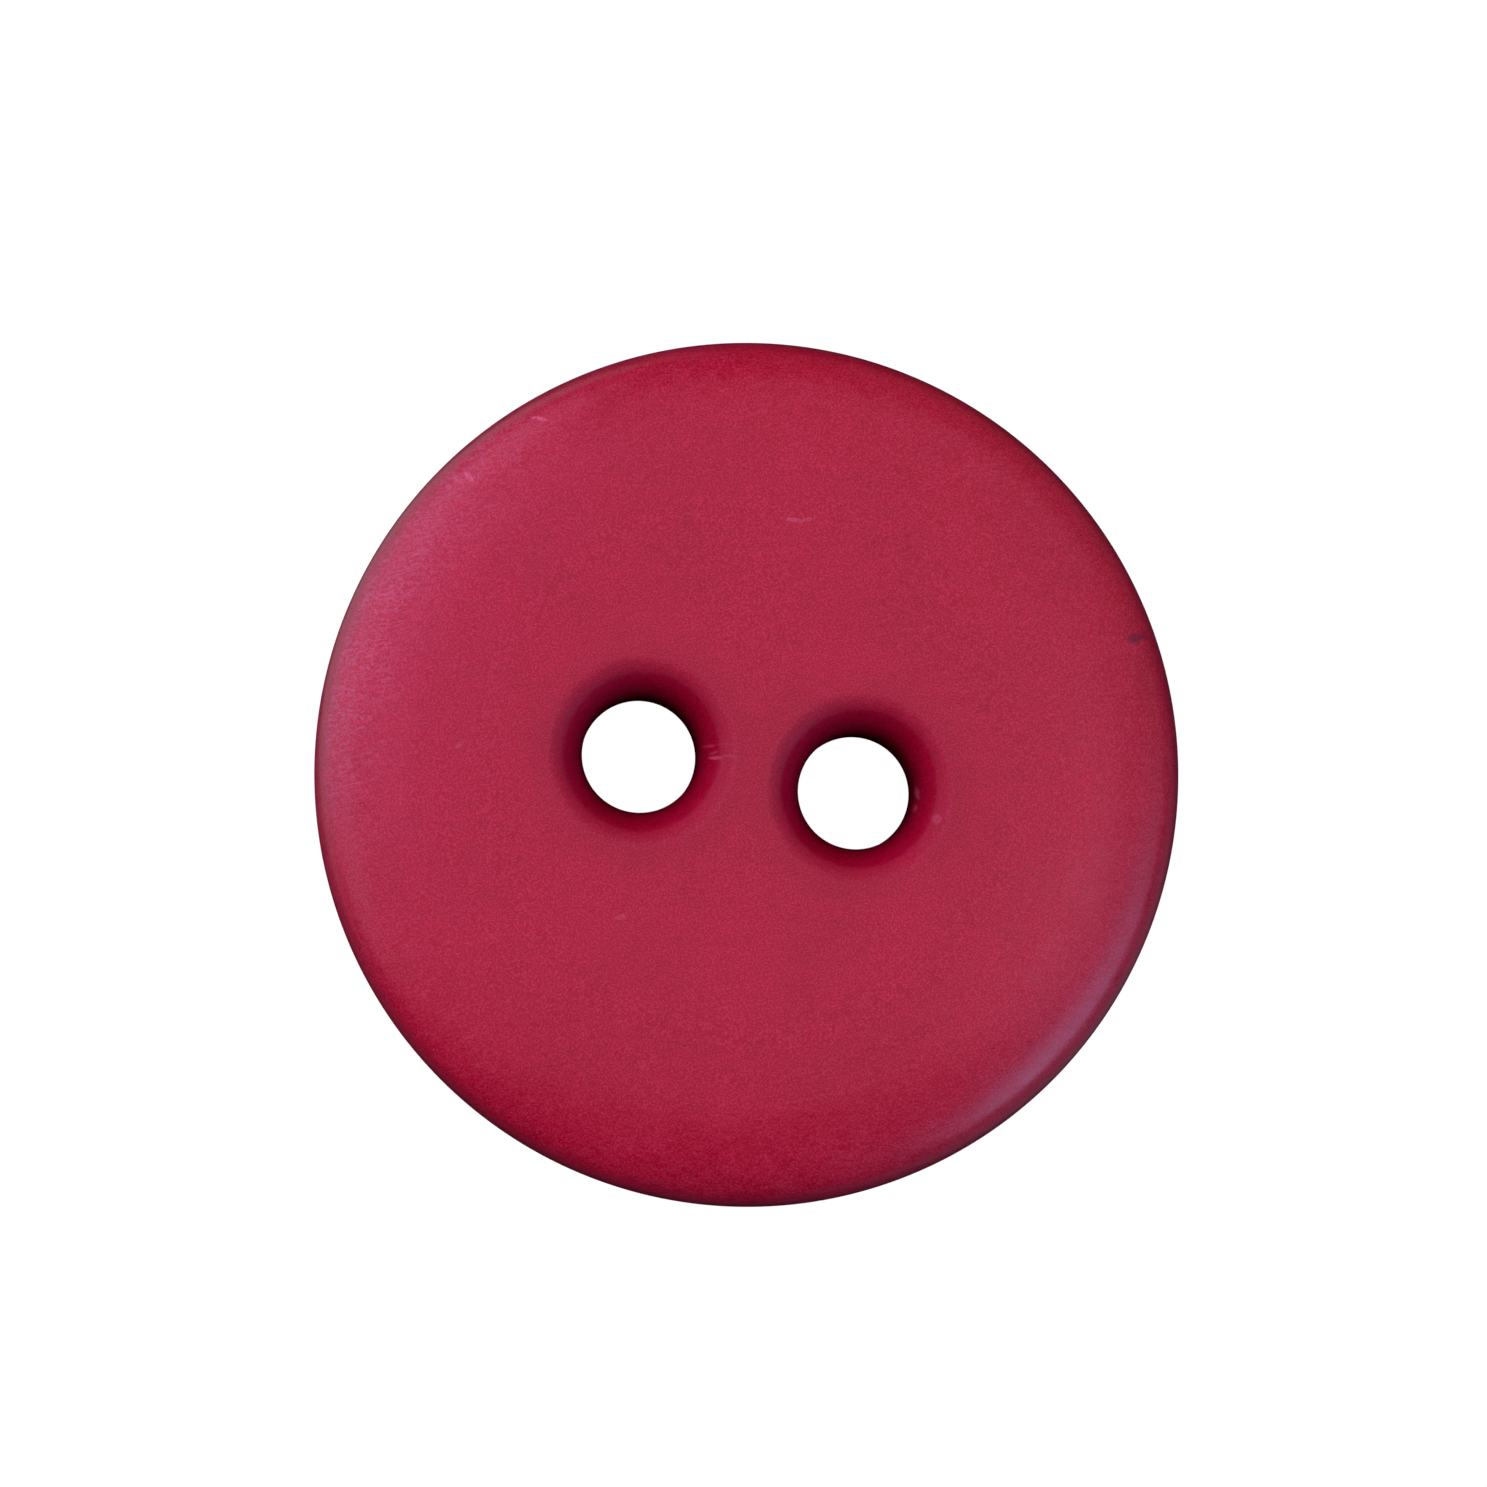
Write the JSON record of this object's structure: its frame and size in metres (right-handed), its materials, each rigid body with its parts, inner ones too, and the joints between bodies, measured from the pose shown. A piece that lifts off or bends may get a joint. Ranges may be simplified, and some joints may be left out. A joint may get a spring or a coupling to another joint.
{
  "type": "sew-through button",
  "caption": "Round sew-through button with a flat middle, a rounded shoulder that turns down to a soft rim, a flat back and round thread holes with sunken mouths; stitched to cloth to close it.",
  "frame": {"origin": "centre of the flat back face, on the button's axis", "axes": "+Z along the button's axis, out of the domed front; +X along the line through the thread holes"},
  "size_m": [0.015, 0.015, 0.0025],
  "materials": {
    "button": "crimson, dyed through, tumbled to a satin face with a few light scuffs"
  },
  "bodies": {
    "root": {"button": "button"}
  },
  "joints": []
}
